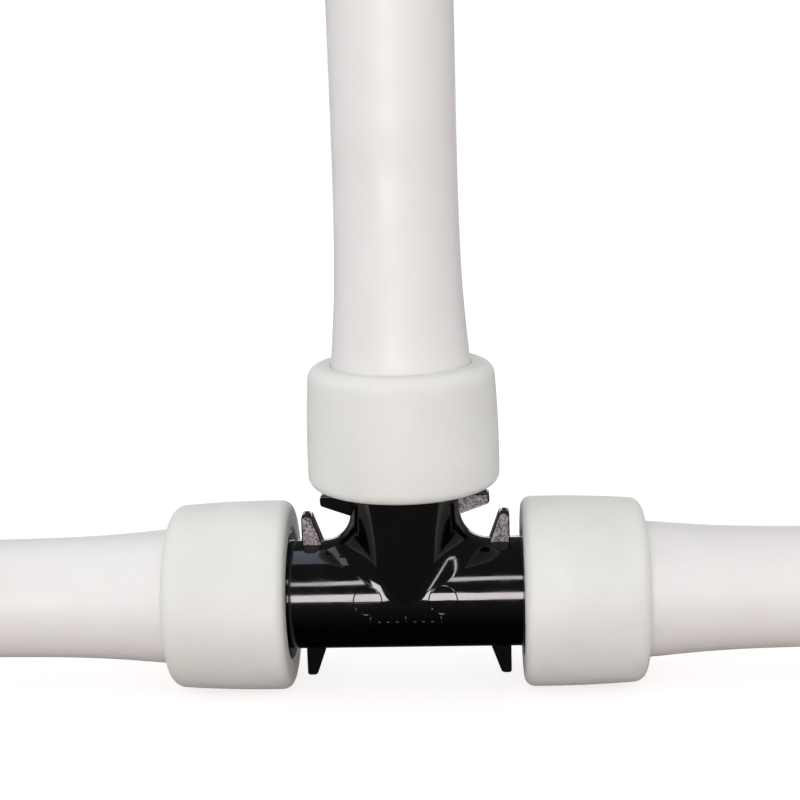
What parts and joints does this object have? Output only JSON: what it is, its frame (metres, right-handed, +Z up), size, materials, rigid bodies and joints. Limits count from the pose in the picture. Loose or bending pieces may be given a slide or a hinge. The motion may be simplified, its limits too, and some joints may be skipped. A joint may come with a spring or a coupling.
{
  "type": "pipe tee connector",
  "caption": "Black moulded equal tee for plastic water pipe, with a white pipe end expanded over each ribbed spigot and squeezed by a milky white reinforcing ring.",
  "frame": {"origin": "middle of the straight run, on the plane that the two run rings rest on, straight below the crossing of the tee's axes", "axes": "+X along the straight run towards the right pipe, +Z up the branch, -Y towards the viewer"},
  "size_m": [0.1348, 0.0252, 0.106],
  "materials": {
    "tee_moulding": "high gloss black, as moulded",
    "ring_plastic": "satin, milky and slightly translucent",
    "pipe_plastic": "smooth satin white"
  },
  "bodies": {
    "tee": {"tee_body": "tee_moulding"},
    "left_leg": {"left_ring": "ring_plastic", "left_pipe": "pipe_plastic"},
    "right_leg": {"right_ring": "ring_plastic", "right_pipe": "pipe_plastic"},
    "branch_leg": {"branch_ring": "ring_plastic", "branch_pipe": "pipe_plastic"}
  },
  "joints": [
    {"name": "left_swivel", "type": "hinge", "parent": "tee", "child": "left_leg", "pos_m": [0, 0, 0.01263], "axis": [-1, 0, 0], "continuous": true},
    {"name": "right_swivel", "type": "hinge", "parent": "tee", "child": "right_leg", "pos_m": [0, 0, 0.01263], "axis": [1, 0, 0], "continuous": true},
    {"name": "branch_swivel", "type": "hinge", "parent": "tee", "child": "branch_leg", "pos_m": [0, 0, 0.01263], "axis": [0, 0, 1], "continuous": true}
  ]
}
